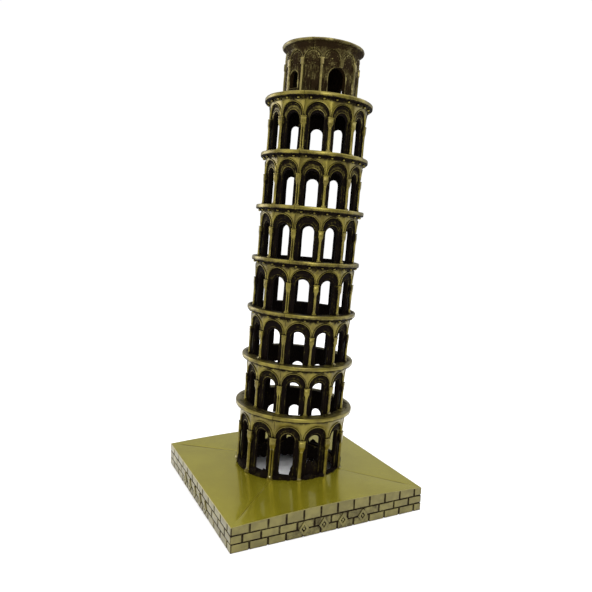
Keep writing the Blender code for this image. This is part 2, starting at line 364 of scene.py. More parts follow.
def cornice_ring(casting, seam, column_radius, edge, cornice, floor_radius, cove):
    """Gallery floor with a slightly rounded edge of that radius and a cove down to the wall."""
    spandrel = column_radius - SPANDREL_SETBACK
    inside = min(column_radius - WALL_THICKNESS + 0.3, floor_radius)
    top = cornice + CORNICE_HALF
    under = cornice - CORNICE_HALF
    outline = (
        (inside, top, 0.20), (column_radius + 0.2, top - 0.02, 0.30),
        (edge - 0.60, top - 0.04, 0.62), (edge - 0.18, top - 0.12, 1.0),
        (edge - 0.02, top - 0.36, 1.0), (edge + 0.02, cornice + 0.15, 0.85),
        (edge, cornice - 0.30, 0.62), (edge - 0.06, under + 0.35, 0.18),
        (edge - 0.25, under + 0.12, 0.10), (edge - 0.55, under + 0.06, 0.12),
        (edge - 1.0, under + 0.15, 0.10),
        (spandrel + 0.75, under - 0.05, 0.12), (spandrel + 0.4, under - 0.3 * cove, 0.18),
        (spandrel + 0.12, under - 0.75 * cove, 0.26), (spandrel - 0.2, under - 0.95 * cove, 0.30),
    )
    profile = [(radius, height) for radius, height, _ in outline]
    rubs = [rub_and_painted_light for _, _, rub_and_painted_light in outline]
    wall = column_radius - WALL_THICKNESS + 0.3
    if floor_radius < wall:
        profile += [(wall, under - 0.95), (wall, under), (inside, under)]
        rubs += [0.0, 0.0, 0.0]
    else:
        profile.append((inside, under - 0.95 * cove))
        rubs.append(0.0)
    half_ring(casting, profile, rubs, seam, SEAM_GAP / column_radius)


def corbels(casting, seam, column_radius, cornice):
    """Small rounded corbels under the cornice."""
    radius = column_radius - SPANDREL_SETBACK + 0.72
    height = cornice - CORNICE_HALF - 0.40
    for step in range(CORBELS):
        azimuth = seam + math.pi * (step + 0.5) / CORBELS
        ball(casting, azimuth, radius, height, (0.62, 0.50, 0.44), 1.7)


def ball(casting, azimuth, radius, height, size, rub_and_painted_light, rows=7, columns=10):
    """Egg with half-axes size: outward, across and up."""
    points = []
    rubs = []
    out = (math.cos(azimuth), math.sin(azimuth))
    for row in range(rows + 1):
        tilt = math.pi * row / rows
        for column in range(columns):
            turn = math.tau * column / columns
            forward = radius + size[0] * math.sin(tilt) * math.cos(turn)
            across = size[1] * math.sin(tilt) * math.sin(turn)
            points.append((out[0] * forward - out[1] * across, out[1] * forward + out[0] * across,
                           height + size[2] * math.cos(tilt)))
            rubs.append(rub_and_painted_light * (0.4 + 0.6 * max(0.0, math.sin(tilt) * math.cos(turn))))
    casting.add(points, grid_faces(rows + 1, columns, wrap_columns=True), rubs)


COLUMN_SIDES = 16


def column(casting, azimuth, shift, face, foot, capital_top, capital_height, slim, plinth):
    """Engaged column, lofted upwards: plinth, torus, shaft, necking, bell and abacus."""
    neck = capital_top - capital_height
    block = capital_top - 0.66 * capital_height
    sections = (
        (foot, 0.90, 1), (foot + plinth, 0.88, 1), (foot + plinth + 0.08, 0.70, 0),
        (foot + plinth + 0.30, 0.76, 0), (foot + plinth + 0.50, 0.64, 0),
        (foot + plinth + 0.60, 0.55, 0), ((foot + neck) / 2, 0.55, 0), (neck - 0.35, 0.52, 0),
        (neck - 0.25, 0.64, 0), (neck - 0.05, 0.64, 0), (neck + 0.02, 0.56, 0),
        (neck + 0.35 * (block - neck), 0.64, 0.3), (block - 0.1, 0.84, 0.7), (block, 0.94, 1),
        (capital_top - 0.62, 0.99, 1), (capital_top - 0.58, 0.88, 1), (capital_top - 0.50, 0.88, 1),
        (capital_top - 0.44, 1.12, 1), (capital_top, 1.14, 1),
    )
    points = []
    rubs = []
    for height, half, squareness in sections:
        power = 2.0 / (2.0 + 8.0 * squareness)
        depth = 0.50 + 0.27 * half
        for side in range(COLUMN_SIDES):
            turn = math.tau * (side + 0.5) / COLUMN_SIDES
            outward = math.copysign(abs(math.cos(turn)) ** power, math.cos(turn)) * depth
            across = math.copysign(abs(math.sin(turn)) ** power, math.sin(turn)) * half * slim
            points.append(tower_point(azimuth, shift + across, face - 0.70 + outward, height))
            rubs.append(0.12 + 0.88 * smoothstep(-0.1, 0.75, math.cos(turn)))
    faces = grid_faces(len(sections), COLUMN_SIDES, wrap_columns=True)
    faces += [tuple(range(COLUMN_SIDES)),
              tuple(range((len(sections) - 1) * COLUMN_SIDES, len(sections) * COLUMN_SIDES))]
    casting.add(points, faces, rubs)


def storey_half(index, foot, cornice, seam):
    """One half-drum: it runs half a turn on from the seam's azimuth."""
    casting = Casting()
    seam += math.radians(TWIST[index])
    column_radius = COLUMN_RADII[index]
    ground = index == 0
    extra_drop = GROUND_EXTRA_DROP if ground else 0.0
    cove = 0.45 if ground else 1.0
    seams = (seam, seam + math.pi)
    bays = [seam + PITCH * (bay + 0.5) for bay in range(BAYS)]
    # Painted light on the top storeys' crescent faces, which are lit from above.
    crescent_painted_light = 0.17 * smoothstep(3.0, 6.0, index)
    storey_wall(casting, bays, seams, column_radius, foot, cornice, extra_drop, cove, crescent_painted_light)
    carries_belfry = index == len(STOREYS) - 1
    floor_radius = BELFRY_RADIUS - BELFRY_WALL if carries_belfry else column_radius
    cornice_ring(casting, seam, column_radius, CORNICE_RADII[index], cornice, floor_radius, cove)
    if not ground:
        corbels(casting, seam, column_radius, cornice)
    capital_top = cornice - extra_drop - CAPITAL_DROP
    height = 4.7 if ground else 4.0
    plinth = 0.9 if ground else 0.5
    scale = COLUMN_SCALE[index]
    face = column_radius + COLUMN_PROUD[index]
    for step in range(BAYS + 1):
        side = {0: 1, BAYS: -1}.get(step, 0)
        slim = SEAM_COLUMN_SCALE * scale if side else scale
        column(casting, seam + PITCH * step, side * SEAM_COLUMN_SHIFT * scale, face, foot,
               capital_top, height, slim, plinth)
    if ground:
        ring = [(column_radius - 2.5, FOOT_RING), (column_radius - 0.5, FOOT_RING - 0.3),
                (column_radius - 0.2, foot), (column_radius - 2.5, foot)]
        half_ring(casting, ring, (0.0, 0.1, 0.1, 0.0), seam, SEAM_GAP / column_radius)
    return casting


# ---------------- belfry
HALF_COLUMNS = 234
BELFRY_ROWS = 104
OPENING_REACH = BELFRY_RADIUS - 0.6                        # radius that openings are measured at


def belfry_relief(angle, height, foot, parapet):
    """(radius, rub) of the belfry's face: blind arches on colonnettes, rosettes and folds."""
    wall = BELFRY_RADIUS - 0.85
    bay = round((angle - BLIND_PHASE) / PITCH - 0.5)
    centre_angle = BLIND_PHASE + PITCH * (bay + 0.5)
    across = (angle - centre_angle) * wall
    edge = abs(across) - wall * PITCH / 2
    spring = parapet - BLIND_CENTRE_DROP
    relief = 0.0
    rub_and_painted_light = 0.15

    if height > spring - 0.3:
        reach = math.hypot(across, height - spring)
        rim = math.exp(-((reach - BLIND_RADIUS) / 0.17) ** 2)
        if reach > BLIND_RADIUS:
            relief = 0.30
            rub_and_painted_light = 0.24
        relief += 0.40 * rim
        rub_and_painted_light = max(rub_and_painted_light, 0.70 * rim)
        inner_rim = math.exp(-((reach - BLIND_RADIUS + 0.75) / 0.18) ** 2)
        relief += 0.16 * inner_rim
        rub_and_painted_light = max(rub_and_painted_light, 0.38 * inner_rim)
    if height < spring + 0.2:
        capital = smoothstep(spring - 2.6, spring - 2.3, height)
        half = 0.50 + 0.26 * capital + 0.14 * smoothstep(spring - 0.5, spring - 0.3, height)
        shaft = 1 - smoothstep(half - 0.08, half + 0.10, abs(edge))
        relief = max(relief, (0.75 + 0.18 * capital) * shaft)
        rub_and_painted_light = max(rub_and_painted_light, 0.95 * shaft)
        if height < foot + 0.9:
            relief = max(relief, 0.8 * (1 - smoothstep(0.75, 0.95, abs(edge))))

    rise = height - spring - 0.1
    boss = math.hypot(across, rise)
    turn = math.atan2(rise, across)
    beads = (0.5 + 0.5 * math.cos(12 * turn)) * math.exp(-((boss - 2.25) / 0.26) ** 2)
    petals = (0.5 + 0.5 * math.cos(6 * turn + 1.0)) * math.exp(-((boss - 0.95) / 0.38) ** 2)
    ring = math.exp(-((boss - 1.65) / 0.16) ** 2)
    centre = math.exp(-(boss / 0.32) ** 2)
    relief += 0.22 * beads + 0.16 * petals + 0.14 * ring + 0.22 * centre
    rub_and_painted_light = max(rub_and_painted_light, 0.42 * beads, 0.26 * petals, 0.26 * ring, 0.5 * centre)
    if height < spring - 2.6 and abs(across) < 3.1:
        grain = noise.noise(Vector((3.1 * angle * wall, 0.25 * height, 7.0)))
        relief += 0.30 * grain
        rub_and_painted_light = max(rub_and_painted_light, 0.18 + 0.28 * grain)
    return wall + relief, rub_and_painted_light


def opening_distance(angle, height, foot):
    """Signed distance to the outline of the nearest doorway or window: inside is negative."""
    nearest = 1e9
    for azimuth, radius, sill in OPENINGS:
        across = math.remainder(angle - azimuth, math.tau) * OPENING_REACH
        up = height - foot - BELL_SPRING
        if up > 0:
            distance = math.hypot(across, up) - radius
        else:
            distance = max(abs(across) - radius, (foot + sill) - height)
        nearest = min(nearest, distance)
    return nearest


def snapped(angle, height, foot, step):
    """A grid point near an opening's outline is pulled onto it."""
    reach = OPENING_REACH
    for _ in range(3):
        distance = opening_distance(angle, height, foot)
        if abs(distance) > 0.55 * step:
            return angle, height
        small = 0.01
        slope_a = (opening_distance(angle + small / reach, height, foot) - distance) / small
        slope_h = (opening_distance(angle, height + small, foot) - distance) / small
        scale = max(slope_a ** 2 + slope_h ** 2, 1e-6)
        angle -= distance * slope_a / scale / reach
        height -= distance * slope_h / scale
    return angle, height


def belfry_half(foot, parapet, seam, band_rub):
    """Half of the bell chamber, with its share of the parapet and of the roof."""
    casting = Casting()
    columns = HALF_COLUMNS
    top = parapet - PARAPET_THICKNESS / 2
    inner = BELFRY_RADIUS - BELFRY_WALL
    gap = SEAM_GAP / BELFRY_RADIUS
    step = (top - foot) / BELFRY_ROWS
    front, back, rubs = [], [], []
    inside = []
    for row in range(BELFRY_ROWS + 1):
        for col in range(columns + 1):
            height = foot + step * row
            angle = seam + gap + (math.pi - 2 * gap) * col / columns
            if 0 < row < BELFRY_ROWS and 0 < col < columns:
                angle, height = snapped(angle, height, foot, step)
            radius, rub_and_painted_light = belfry_relief(angle, height, foot, parapet)
            distance = opening_distance(angle, height, foot)
            rim = math.exp(-((distance - 0.26) / 0.16) ** 2)
            radius += 0.30 * rim
            rub_and_painted_light = max(rub_and_painted_light, 0.70 * rim)
            if distance < 0.8:
                rub_and_painted_light *= smoothstep(-0.1, 0.2, distance)
            front.append((radius * math.cos(angle), radius * math.sin(angle), height))
            back.append((inner * math.cos(angle), inner * math.sin(angle), height))
            rubs.append(rub_and_painted_light)
            inside.append(distance)
    faces = grid_faces(BELFRY_ROWS + 1, columns + 1)
    kept = [face for face in faces if sum(inside[index] for index in face) / 4 > 0]
    shift = len(front)
    edges = [pair for face in kept for pair in zip(face, face[1:] + face[:1])]
    known = set(edges)
    walls = [(second, first, first + shift, second + shift) for first, second in edges
             if (second, first) not in known]
    back_faces = [tuple(index + shift for index in reversed(face)) for face in kept]
    casting.add(front + back, kept + back_faces + walls, rubs + [0.0] * shift)

    high = parapet + PARAPET_THICKNESS / 2
    roof = high - ROOF_DROP
    outline = [(PARAPET_INNER, high - 0.1), (PARAPET_INNER + 0.3, high),
               (PARAPET_RADIUS - 0.55, high)]
    ring_rubs = [0.5, 0.9, 1.0]
    for turn in range(5):
        angle = math.pi / 2 - math.pi * turn / 4
        outline.append((PARAPET_RADIUS - 0.5 + 0.5 * math.cos(angle),
                        parapet + 0.62 * math.sin(angle)))
        ring_rubs.append((1.0, 1.0, band_rub, band_rub, 0.6 * band_rub)[turn])
    low = parapet - PARAPET_THICKNESS / 2
    for turn in range(5):
        share = turn / 4
        outline.append((PARAPET_RADIUS - 0.75 - (PARAPET_RADIUS - BELFRY_RADIUS - 0.1) * share,
                        low - 2.0 * share ** 1.6))
        ring_rubs.append(0.14)
    outline += [(BELFRY_RADIUS - 1.6, low - 2.1), (BELFRY_RADIUS - 1.6, roof - ROOF_THICKNESS),
                (0.4, roof - ROOF_THICKNESS), (0.4, roof), (PARAPET_INNER, roof)]
    ring_rubs += [0.05, 0.0, 0.0, 0.3, 0.3]
    half_ring(casting, outline, ring_rubs, seam, gap)
    return casting


# ---------------- base
COURSES = 3
BRICKS = 11.5
FIRST_MIDDLE_BRICK = 0.62          # share of a brick that starts the middle course
JOINT = 0.66
BED = 0.42
RELIEF = 0.45
CHAMFER = 0.12
TOP_STEPS = 22                     # rings of the top between its edge and the well
GROOVES = (0.6, 0.75, 0.6, 1.0)    # strength of the grooves from the front, right, back and left
GROOVE_DEPTH = 0.02
BRICK_EASE = 0.16                  # rounding of the bricks' edges
BRICK_TOP_GAP = 0.20               # top course's tops lie this far below the base's top
LAST_COURSE_EASE = 0.35            # and are eased only this much


def top_height(x, y):
    """Height of the base's crowned top: four facets that meet on the diagonals."""
    if abs(x) >= abs(y):
        return BASE_EDGE_HEIGHT + TOP_CROWN * (1 - abs(x) / BASE_HALF)
    along = abs(y) / BASE_HALF
    bow = EDGE_CROWN * along * (1 - (x / y) ** 2)
    return BASE_EDGE_HEIGHT + TOP_CROWN * (1 - along) + bow


def base_shell(casting):
    """Tray with a crowned top plate and a round well: square rings lofted to the well's circle."""
    steps = [0.0, 0.22, 0.44] + [2 * BASE_HALF * step / 26 for step in range(1, 26)]
    steps += [2 * BASE_HALF - 0.44, 2 * BASE_HALF - 0.22]
    side = len(steps)
    count = 4 * side
    core = BASE_HALF - RELIEF

    def square(index, half):
        quarter, step = divmod(index, side)
        slide = (steps[step] / BASE_HALF - 1) * half
        return ((slide, -half), (half, slide), (-slide, half), (-half, -slide))[quarter]

    def ring(half, height, share=0.0):
        loop = []
        for index in range(count):
            x, y = square(index, half)
            angle = math.atan2(y - FOOT[1], x - FOOT[0])
            round_x = FOOT[0] + WELL_RADIUS * math.cos(angle)
            round_y = FOOT[1] + WELL_RADIUS * math.sin(angle)
            x += (round_x - x) * share
            y += (round_y - y) * share
            loop.append((x, y, height(x, y)))
        return loop

    inner = BASE_HALF - BASE_WALL
    ceiling = BASE_EDGE_HEIGHT - TOP_PLATE
    rings = [ring(core, lambda x, y: 0.0), ring(core, lambda x, y: top_height(x, y) - 0.32),
             ring(BASE_HALF - 0.02, lambda x, y: top_height(x, y) - 0.26),
             ring(BASE_HALF, lambda x, y: top_height(x, y) - CHAMFER)]
    values = [0.2] * count + [0.3] * count + [0.9] * count + [1.0] * count
    for step in range(TOP_STEPS + 1):
        share = step / TOP_STEPS
        loop = ring(BASE_HALF - CHAMFER, top_height, share)
        rubs = [1.0 if share < 0.93 else 0.25] * count
        for corner, strength in enumerate(GROOVES):
            strength *= smoothstep(0.04, 0.22, share)
            for near in (-1, 0, 1):
                index = (corner * side + near) % count
                x, y, z = loop[index]
                loop[index] = (x, y, z - GROOVE_DEPTH * strength)
                rubs[index] = 1.0 - strength
        rings.append(loop)
        values += rubs
    rings += [ring(BASE_HALF - CHAMFER, lambda x, y: ceiling, 1.0),
              ring(inner, lambda x, y: ceiling), ring(inner, lambda x, y: 0.0)]
    values += [0.0] * count + [0.0] * count + [0.1] * count
    slots = [1] * 4 + [0] * TOP_STEPS + [1] * 4
    first = len(casting.points)
    casting.add([point for loop in rings for point in loop], [], values)
    for row in range(len(rings)):
        below = (row + 1) % len(rings)
        for col in range(count):
            right = (col + 1) % count
            casting.faces.append((first + row * count + col, first + row * count + right,
                                  first + below * count + right, first + below * count + col))
            casting.face_slots.append(slots[row])


def side_frame(quarter):
    """Function from (along, up, depth) on one of the base's sides to a point."""
    turn = Matrix.Rotation(quarter * math.pi / 2, 3, "Z")

    def to_world(along, up, depth):
        return tuple(turn @ Vector((along, -(BASE_HALF - RELIEF + depth), up)))

    return to_world


def brick(casting, to_world, low, high, rub_and_painted_light, top_ease):
    """One raised brick with rounded edges: low and high are (along, up), high's up a function."""
    steps = 5
    rows = []
    rubs = []
    for depth, inset, value in ((-0.3, 0.0, 0.0), (RELIEF - 0.12, 0.0, 0.12),
                                (RELIEF, BRICK_EASE, rub_and_painted_light),
                                (RELIEF + 0.02, BRICK_EASE * 2.2, rub_and_painted_light)):
        loop = []
        left, right = low[0] + inset, high[0] - inset
        bottom = low[1] + inset
        for step in range(steps + 1):
            loop.append((left + (right - left) * step / steps, bottom))
        for step in range(steps, -1, -1):
            along = left + (right - left) * step / steps
            loop.append((along, high[1](along) - inset * top_ease))
        rows.append([to_world(along, up, depth) for along, up in loop])
        rubs += [value] * len(loop)
    width = len(rows[0])
    faces = grid_faces(len(rows), width, wrap_columns=True)
    for row in (0, len(rows) - 1):
        half = row * width
        for step in range(steps):
            last = half + width - 1 - step
            faces.append((half + step, half + step + 1, last - 1, last))
    casting.add([point for row in rows for point in row], faces, rubs, 1)


def brick_sides(casting):
    """Three courses on each side; the middle course is shifted by half a brick."""
    length = 2 * BASE_HALF / BRICKS
    course = BASE_EDGE_HEIGHT / COURSES
    for quarter in range(4):
        to_world = side_frame(quarter)
        bowed = quarter % 2 == 0
        for row in range(COURSES):
            start = -BASE_HALF - (length * (1 - FIRST_MIDDLE_BRICK) if row == 1 else 0.0)
            while start < BASE_HALF - 0.5:
                left = max(start + JOINT / 2, -BASE_HALF + 0.02)
                right = min(start + length - JOINT / 2, BASE_HALF - 0.02)
                bottom = row * course + (BED / 2 if row else 0.0)
                if row < COURSES - 1:
                    def high(along, top=(row + 1) * course - BED / 2):
                        return top
                elif bowed:
                    def high(along):
                        return top_height(along, -BASE_HALF) - BRICK_TOP_GAP
                else:
                    def high(along):
                        return BASE_EDGE_HEIGHT - BRICK_TOP_GAP
                bright = 0.80 + 0.2 * noise.noise(Vector((start, row * 3.1, quarter * 7.7)))
                if row < 2 and abs((left + right) / 2) < 18.0 and quarter in (0, 3):
                    bright *= 0.55 if quarter == 0 else 0.8
                if right - left > 0.8:
                    brick(casting, to_world, (left, bottom), (right, high), bright,
                          1.0 if row < COURSES - 1 else LAST_COURSE_EASE)
                start += length


def lozenge(casting, to_world, along, up, half_wide, half_high):
    """Raised open diamond with a dot in it: a plain ornament."""
    stroke = 0.85
    rows = []
    rubs = []
    for depth, grow, value in ((-0.2, 0.0, 0.2), (RELIEF + 0.28, 0.0, 0.8),
                               (RELIEF + 0.40, -0.12, 1.0), (RELIEF + 0.40, -stroke + 0.12, 1.0),
                               (RELIEF + 0.28, -stroke, 0.8), (-0.2, -stroke, 0.2)):
        loop = []
        for corner in range(4):
            first = math.tau * corner / 4
            second = math.tau * (corner + 1) / 4
            for step in range(4):
                share = step / 4
                x = math.cos(first) * (1 - share) + math.cos(second) * share
                y = math.sin(first) * (1 - share) + math.sin(second) * share
                loop.append((along + x * (half_wide + grow * 1.25),
                             up + y * (half_high + grow * 1.6)))
        rows.append([to_world(a, u, depth) for a, u in loop])
        rubs += [value] * len(loop)
    casting.add([point for row in rows for point in row],
                grid_faces(len(rows), 16, wrap_rows=True, wrap_columns=True), rubs, 1)
    dot = []
    dot_rubs = []
    for depth, radius in ((-0.2, 0.5), (RELIEF + 0.2, 0.5), (RELIEF + 0.36, 0.36),
                          (RELIEF + 0.42, 0.01)):
        for step in range(12):
            turn = math.tau * step / 12
            dot.append(to_world(along + radius * math.cos(turn), up + radius * math.sin(turn),
                                depth))
            dot_rubs.append(0.9)
    faces = grid_faces(4, 12, wrap_columns=True)
    faces += [tuple(range(12)), tuple(range(36, 48))]
    casting.add(dot, faces, dot_rubs, 1)


def ornaments(casting):
    """Plain raised diamonds on two sides: four in front, five on the left."""
    for quarter, places in ((0, (-12.2, -4.0, 4.0, 12.6)), (3, (-15.0, -8.3, -1.5, 5.3, 12.0))):
        for along in places:
            lozenge(casting, side_frame(quarter), along, 3.3, 2.0, 2.7)


# ---------------- solder
WELL_SHADE_BEADS = 27
RAGGED_BEADS = 40


def solder_lumps(casting, places, radius, height):
    """Bright lumps on one ring: places are (azimuth, size)."""
    for azimuth, size in places:
        ball(casting, azimuth, radius, height + 0.3 * size, (0.75 * size, 0.9 * size, 0.8 * size),
             1.0, rows=9, columns=14)


# ---------------- materials
def node_tree(name):
    material = bpy.data.materials.new(name)
    material.use_nodes = True
    tree = material.node_tree
    return material, tree, tree.nodes["Principled BSDF"]


def noise_node(tree, coordinates, scale, detail=4.0, roughness=0.55, stretch=None):
    texture = tree.nodes.new("ShaderNodeTexNoise")
    texture.inputs["Scale"].default_value = scale
    texture.inputs["Detail"].default_value = detail
    texture.inputs["Roughness"].default_value = roughness
    source = coordinates
    if stretch is not None:
        mapping = tree.nodes.new("ShaderNodeMapping")
        mapping.inputs["Scale"].default_value = stretch
        tree.links.new(coordinates, mapping.inputs["Vector"])
        source = mapping.outputs["Vector"]
    tree.links.new(source, texture.inputs["Vector"])
    return texture.outputs["Fac"]


def math_node(tree, operation, first, second):
    node = tree.nodes.new("ShaderNodeMath")
    node.operation = operation
    for socket, value in zip(node.inputs, (first, second)):
        if hasattr(value, "links"):
            tree.links.new(value, socket)
        else:
            socket.default_value = value
    return node.outputs[0]


def ramp(tree, factor, low, high, from_min, from_max):
    node = tree.nodes.new("ShaderNodeMapRange")
    node.interpolation_type = "SMOOTHSTEP"
    node.inputs["From Min"].default_value = from_min
    node.inputs["From Max"].default_value = from_max
    node.inputs["To Min"].default_value = low
    node.inputs["To Max"].default_value = high
    tree.links.new(factor, node.inputs["Value"])
    return node.outputs["Result"]


def mix_color(tree, factor, first, second):
    node = tree.nodes.new("ShaderNodeMix")
    node.data_type = "RGBA"
    for index, value in ((0, factor), (6, first), (7, second)):
        socket = node.inputs[index]
        if hasattr(value, "links"):
            tree.links.new(value, socket)
        elif isinstance(value, tuple):
            socket.default_value = (*value, 1.0)
        else:
            socket.default_value = value
    return node.outputs[2]


def antique_brass(name, bright, worn, patina, bright_rough, patina_rough, coat):
    """Rubbed brass over dark patina: the rub attribute with its painted shade and painted light,
    noise and nooks decide which one shows.
    """
    material, tree, shader = node_tree(name)
    coordinates = tree.nodes.new("ShaderNodeTexCoord").outputs["Object"]
    attribute = tree.nodes.new("ShaderNodeAttribute")
    attribute.attribute_name = "rub_and_painted_light"
    fine = noise_node(tree, coordinates, 1500.0)
    broad = noise_node(tree, coordinates, 260.0)
    nooks = tree.nodes.new("ShaderNodeAmbientOcclusion")
    nooks.samples = 6
    nooks.inputs["Distance"].default_value = 0.0011
    open_share = ramp(tree, nooks.outputs["AO"], 0.15, 1.0, 0.20, 0.70)
    rubbed_and_painted_light = math_node(tree, "MULTIPLY", attribute.outputs["Fac"], open_share)
    jitter = math_node(tree, "MULTIPLY", math_node(tree, "SUBTRACT", fine, 0.5), 0.55)
    stain = math_node(tree, "MULTIPLY", math_node(tree, "SUBTRACT", broad, 0.5), 0.60)
    level = math_node(tree, "ADD", math_node(tree, "ADD", rubbed_and_painted_light, jitter), stain)
    mask = ramp(tree, level, 0.0, 1.0, 0.12, 0.62)
    tone = mix_color(tree, ramp(tree, broad, 0.0, 1.0, 0.35, 0.65), worn, bright)
    color = mix_color(tree, mask, patina, tone)
    tree.links.new(color, shader.inputs["Base Color"])
    tree.links.new(ramp(tree, mask, 0.0, 0.9, 0.0, 0.8), shader.inputs["Metallic"])
    rough = math_node(tree, "ADD", ramp(tree, mask, patina_rough, bright_rough, 0.0, 1.0),
                      math_node(tree, "MULTIPLY", math_node(tree, "SUBTRACT", fine, 0.5), 0.16))
    tree.links.new(rough, shader.inputs["Roughness"])
    tree.links.new(ramp(tree, mask, 0.02, 0.5, 0.1, 1.0), shader.inputs["Specular IOR Level"])
    tree.links.new(ramp(tree, mask, 0.0, coat, 0.1, 0.9), shader.inputs["Coat Weight"])
    shader.inputs["Coat Roughness"].default_value = 0.22
    bump = tree.nodes.new("ShaderNodeBump")
    bump.inputs["Strength"].default_value = 0.45
    bump.inputs["Distance"].default_value = 0.00006
    tree.links.new(fine, bump.inputs["Height"])
    tree.links.new(bump.outputs["Normal"], shader.inputs["Normal"])
    return material


def polished_top(name):
    """Lacquered brushed brass: fine hairlines, faint cloudiness and patina in the grooves."""
    material, tree, shader = node_tree(name)
    coordinates = tree.nodes.new("ShaderNodeTexCoord").outputs["Object"]
    hairs = noise_node(tree, coordinates, 700.0, 3.0, 0.6, (1.0, 12.0, 1.0))
    clouds = noise_node(tree, coordinates, 45.0, 5.0, 0.6)
    attribute = tree.nodes.new("ShaderNodeAttribute")
    attribute.attribute_name = "rub_and_painted_light"
    tone = mix_color(tree, ramp(tree, clouds, 0.0, 1.0, 0.3, 0.7),
                     (0.285, 0.242, 0.006), (0.355, 0.312, 0.014))
    tone = mix_color(tree, math_node(tree, "MULTIPLY", hairs, 0.30), tone, (0.40, 0.355, 0.045))
    patina = ramp(tree, attribute.outputs["Fac"], 0.0, 1.0, 0.2, 0.9)
    color = mix_color(tree, patina, (0.03, 0.018, 0.008), tone)
    tree.links.new(color, shader.inputs["Base Color"])
    tree.links.new(math_node(tree, "MULTIPLY", patina, 0.70), shader.inputs["Metallic"])
    tree.links.new(math_node(tree, "MULTIPLY", patina, 0.5), shader.inputs["Specular IOR Level"])
    tree.links.new(math_node(tree, "MULTIPLY", patina, 0.45), shader.inputs["Coat Weight"])
    rough = math_node(tree, "ADD", math_node(tree, "MULTIPLY", hairs, 0.16), 0.16)
    tree.links.new(rough, shader.inputs["Roughness"])
    shader.inputs["Coat Roughness"].default_value = 0.05
    bump = tree.nodes.new("ShaderNodeBump")
    bump.inputs["Strength"].default_value = 0.12
    bump.inputs["Distance"].default_value = 0.00003
    tree.links.new(hairs, bump.inputs["Height"])
    tree.links.new(bump.outputs["Normal"], shader.inputs["Normal"])
    return material


# ---------------- assembly
def place(obj, replaces, slot, materials):
    for material in materials:
        obj.data.materials.append(material)
    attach(obj, "root")
    if replaces:
        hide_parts(*replaces)


def build_tower(brass, belfry_brass):
    matrix = tower_matrix()
    foot = 0.0
    cornice = 0.0
    for index, height in enumerate(STOREY_HEIGHTS):
        cornice += height
        for side, seam in (("right", SEAM - math.pi), ("left", SEAM)):
            name = f"{STOREYS[index]}_{side}_half"
            casting = storey_half(index, foot, cornice, seam)
            casting.rub_and_painted_light = [rub_and_painted_light * RUBBED[index] for rub_and_painted_light in casting.rub_and_painted_light]
            obj = casting.build(f"{name}_casting", matrix)
            place(obj, (name,), "arcade_brass", (brass,))
        foot = cornice + CORNICE_HALF
    parapet = cornice + BELFRY_HEIGHT
    for side, seam, band_rub in (("right", SEAM - math.pi, 0.35), ("left", SEAM, 1.0)):
        name = f"belfry_{side}_half"
        obj = belfry_half(foot, parapet, seam, band_rub).build(f"{name}_casting", matrix)
        place(obj, (name,), "belfry_brass", (belfry_brass,))


def build_solder_lumps(solder_brass):
    """Lumps at the feet of the ground storey's columns and on the next two galleries."""
    casting = Casting()
    first = SEAM + math.radians(TWIST[0])
    feet = [(first + PITCH * step, 0.75 + 0.3 * math.sin(3.7 * step)) for step in range(2 * BAYS)]
    solder_lumps(casting, feet, COLUMN_RADII[0] + 0.1, 1.3)
    for index, places in ((1, ((-74.0, 0.8), (76.0, 0.6))),
                          (2, ((-163.5, 0.7), (-73.5, 0.8), (107.0, 0.7)))):
        solder_lumps(casting, [(math.radians(azimuth), size) for azimuth, size in places],
                     COLUMN_RADII[index] + 0.3, sum(STOREY_HEIGHTS[:index]) + 1.2)
    obj = casting.build("solder_lumps", tower_matrix(), wobble=((0.30, 0.7), (0.12, 2.0)))
    place(obj, (), "arcade_brass", (solder_brass,))


def build_dark_solder_and_shade_bank(brass):
    """Dark solder inside the ground storey: blobs and a ragged ring, with a bank of dark beads on
    the well's back edge as painted shade.
    """
    casting = Casting()
    for azimuth, height, size in ((-92.0, 3.3, (1.3, 2.6, 4.9)), (-84.0, 3.0, (1.3, 2.6, 4.6)),
                                  (-108.5, 3.0, (1.2, 2.3, 4.2)), (-131.0, 1.6, (1.1, 1.2, 2.2)),
                                  (62.0, 1.6, (1.1, 2.2, 2.4)), (168.0, 1.8, (1.1, 1.8, 2.2))):
        ball(casting, math.radians(azimuth), COLUMN_RADII[0] - WALL_THICKNESS - 0.4, height, size,
             0.08, rows=16, columns=28)
    # Painted shade: a bank of dark beads along the back of the well stands where there is only
    # shade.
    for step in range(WELL_SHADE_BEADS):
        ball(casting, math.radians(15 + 6 * step), WELL_RADIUS - 0.1,
             -1.9 + 0.4 * math.sin(3.1 * step), (1.3, 2.6, 3.0 + 0.5 * math.sin(2.3 * step)),
             0.06, rows=8, columns=14)
    for step in range(RAGGED_BEADS):
        azimuth = math.tau * (step + 0.35 * math.sin(2.9 * step)) / RAGGED_BEADS
        swell = 0.5 + 0.5 * math.sin(5.3 * step)
        ball(casting, azimuth, COLUMN_RADII[0] - 0.75, 0.9 + 0.9 * swell,
             (0.8, 1.1 + 0.7 * swell, 1.0 + 0.9 * swell), 0.10, rows=8, columns=14)
    obj = casting.build("dark_solder_and_shade_bank", tower_matrix(), wobble=((0.55, 0.55), (0.25, 1.6)))
    place(obj, (), "arcade_brass", (brass,))


def build_base(top, bricks):
    casting = Casting()
    base_shell(casting)
    brick_sides(casting)
    ornaments(casting)
    obj = casting.build("base_casting", Matrix.Identity(4), wobble=((0.02, 0.3), (0.015, 1.1)),
                        smooth_angle=30.0)
    place(obj, ("base",), "base_brass", (top, bricks))


def area_light(name, location, target, size, power, color=(1, 1, 1)):
    data = bpy.data.lights.new(name, "AREA")
    data.shape = "RECTANGLE"
    data.size, data.size_y = size
    data.energy = power
    data.color = color
    obj = link_object(name, data)
    obj.location = location
    obj.rotation_euler = (Vector(target) - Vector(location)).to_track_quat("-Z", "Y").to_euler()


